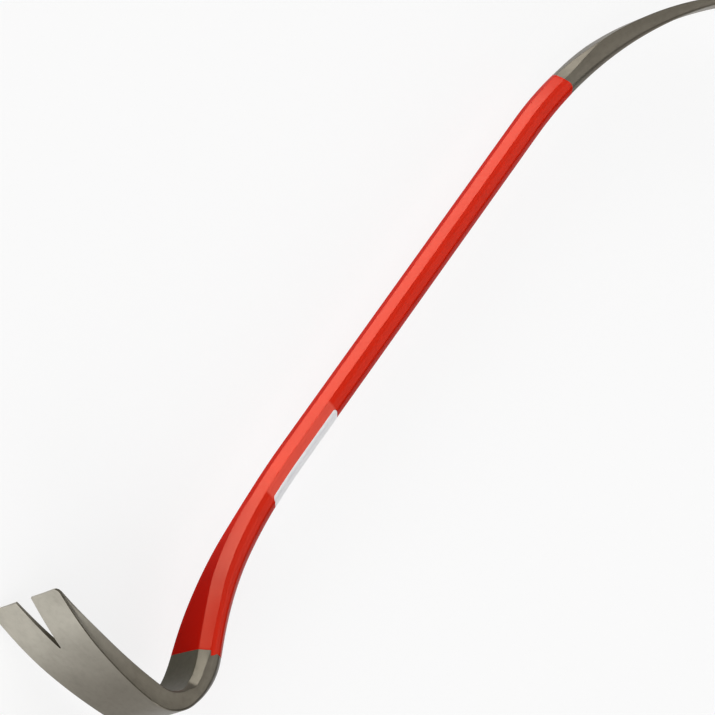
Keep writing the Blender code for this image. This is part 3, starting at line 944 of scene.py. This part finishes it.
def film():
    """Blank white sticker film, a little rippled over the paint."""
    nodes = Nodes("white_film")
    place_in = nodes.add("ShaderNodeTexCoord").outputs["Object"]
    soft = nodes.noise(place_in, 90.0, 3.0, 0.5)
    fibre = nodes.noise(place_in, 1300.0, 3.0, 0.55)
    colour = nodes.ramp(soft, [(0.3, (0.92, 0.91, 0.93, 1.0)), (0.7, (0.96, 0.95, 0.97, 1.0))])
    rough = nodes.fit(fibre, 0.3, 0.7, 0.33, 0.42)
    normal = nodes.bump(soft, 0.12 * MM, 0.3)
    normal = nodes.bump(fibre, 0.01 * MM, 0.3, normal)
    nodes.feed(nodes.shader, {"Base Color": colour, "Roughness": rough, "Normal": normal})
    return nodes.material


def floor_finish():
    """Studio card, mostly plain white to the camera and in reflections, with the bar's shadow kept in the rest."""
    nodes = Nodes("studio_card")
    place_in = nodes.add("ShaderNodeTexCoord").outputs["Object"]
    tooth = nodes.noise(place_in, 900.0, 3.0, 0.5)
    colour = nodes.ramp(tooth, [(0.3, grey(0.955)), (0.7, grey(0.975))])
    nodes.feed(nodes.shader, {"Base Color": colour, "Roughness": 0.9, "Specular IOR Level": 0.1})
    path = nodes.add("ShaderNodeLightPath")
    seen = nodes.math("MAXIMUM", path.outputs["Is Camera Ray"], path.outputs["Is Glossy Ray"])
    seen = nodes.math("MAXIMUM", seen, path.outputs["Is Transmission Ray"])
    white = nodes.add("ShaderNodeEmission", {"Strength": 1.0})
    share = nodes.math("MULTIPLY", seen, FLOOR_WHITE)
    mixed = nodes.add("ShaderNodeMixShader", {0: share, 1: nodes.shader.outputs[0], 2: white.outputs[0]})
    nodes.tree.links.new(mixed.outputs[0], nodes.output.inputs["Surface"])
    return nodes.material


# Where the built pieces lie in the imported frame
SEAT = Vector((-0.00173, -0.00435, 0.0339))

# The photograph's view
PHOTO_SIDE = 715.0
SENSOR = 36.0
LENS = 288.9
VIEW_DISTANCE = 3.6564
VIEW_RIGHT = (0.46051, -0.61728, 0.63788)
VIEW_BACK = (-0.61026, 0.30168, 0.73251)
ANCHOR = Vector((-0.01198, -0.00435, 0.0339))
ANCHOR_RIGHT_PX = 47.7
ANCHOR_UP_PX = 60.85

# Light
FLOOR_HALF = 6.0
FLOOR_DROP = 0.2 * MM
FLOOR_WHITE = 0.8
LAMP_DISTANCE = 3.0
LAMPS = [
    # name, azimuth, elevation, angular size, strength
    ("key_low", 51.0, 17.0, 20.0, 0.38),
    ("key_wide", 50.0, 15.0, 30.0, 0.50),
    ("key_high", 66.0, 24.0, 20.0, 0.30),
    ("key_top", 64.0, 39.0, 20.0, 0.36),
    ("claw_side_edge", 80.0, 15.0, 30.0, 0.14),
    ("claw_side_low", 140.0, 15.0, 30.0, 0.60),
    ("claw_low", 170.0, 15.0, 30.0, 1.50),
    ("claw_high", 170.0, 38.0, 30.0, 0.60),
    ("back_low", 200.0, 15.0, 30.0, 1.26),
    ("back_side_low", 230.0, 15.0, 30.0, 0.68),
    ("fill_side", 260.0, 38.0, 30.0, 0.14),
    ("fill_front", 320.0, 38.0, 30.0, 0.30),
    ("fill_top", 12.0, 50.0, 30.0, 0.20),
    ("fill_chisel", 350.0, 38.0, 30.0, 0.16),
]


def place_piece(obj, material, slot_name, *nodes_replaced):
    """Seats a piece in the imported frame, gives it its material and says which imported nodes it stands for."""
    obj.data.transform(Matrix.Translation(SEAT))
    obj.data.materials.clear()
    obj.data.materials.append(material)
    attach(obj, "root")
    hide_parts(*nodes_replaced)


def build_camera():
    """The photograph's camera, turned about its own axis as the photograph is."""
    right = Vector(VIEW_RIGHT).normalized()
    back = (Vector(VIEW_BACK) - Vector(VIEW_BACK).dot(right) * right).normalized()
    up = back.cross(right)
    pixel = VIEW_DISTANCE * SENSOR / (LENS * PHOTO_SIDE)
    middle = ANCHOR - ANCHOR_RIGHT_PX * pixel * right - ANCHOR_UP_PX * pixel * up
    data = bpy.data.cameras.new("camera")
    data.lens = LENS
    data.sensor_width = SENSOR
    data.clip_end = 100.0
    camera = bpy.data.objects.new("camera", data)
    turn = Matrix((right, up, back)).transposed().to_4x4()
    camera.matrix_world = Matrix.Translation(middle + back * VIEW_DISTANCE) @ turn
    bpy.context.scene.collection.objects.link(camera)
    bpy.context.scene.camera = camera


def build_floor():
    builder = bmesh.new()
    corners = [(-1, -1), (1, -1), (1, 1), (-1, 1)]
    builder.faces.new([builder.verts.new((x * FLOOR_HALF, y * FLOOR_HALF, -FLOOR_DROP)) for x, y in corners])
    mesh = bpy.data.meshes.new("floor")
    builder.to_mesh(mesh)
    builder.free()
    floor = bpy.data.objects.new("floor", mesh)
    bpy.context.scene.collection.objects.link(floor)
    floor.data.materials.append(floor_finish())


def build_lamps():
    for name, azimuth, elevation, size, strength in LAMPS:
        data = bpy.data.lights.new(name, "SUN")
        data.energy = strength
        data.angle = math.radians(size)
        lamp = bpy.data.objects.new(name, data)
        turn = math.radians(azimuth)
        rise = math.radians(elevation)
        towards = Vector((math.cos(turn) * math.cos(rise), math.sin(turn) * math.cos(rise), math.sin(rise)))
        lamp.rotation_euler = towards.to_track_quat("Z", "Y").to_euler()
        lamp.location = towards * LAMP_DISTANCE
        bpy.context.scene.collection.objects.link(lamp)


def build_world():
    """A dark studio: all the light comes from the lamps and the floor."""
    world = bpy.data.worlds.new("studio")
    bpy.context.scene.world = world
    world.use_nodes = True
    world.node_tree.nodes["Background"].inputs["Strength"].default_value = 0.0


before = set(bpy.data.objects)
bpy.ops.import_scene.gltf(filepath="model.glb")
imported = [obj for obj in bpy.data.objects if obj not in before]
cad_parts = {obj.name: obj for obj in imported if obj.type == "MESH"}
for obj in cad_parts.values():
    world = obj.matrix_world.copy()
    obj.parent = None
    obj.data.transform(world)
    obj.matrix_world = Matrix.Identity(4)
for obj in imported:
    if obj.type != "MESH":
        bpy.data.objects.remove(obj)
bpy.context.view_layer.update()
place_piece(build_bar(), steel(), "lacquered_steel", "forged_bar")
place_piece(build_paint(), enamel(), "red_enamel", "paint_coat")
place_piece(build_label(), film(), "white_film", "label")
build_camera()
build_floor()
build_lamps()
build_world()
bpy.context.scene.view_settings.view_transform = "Standard"
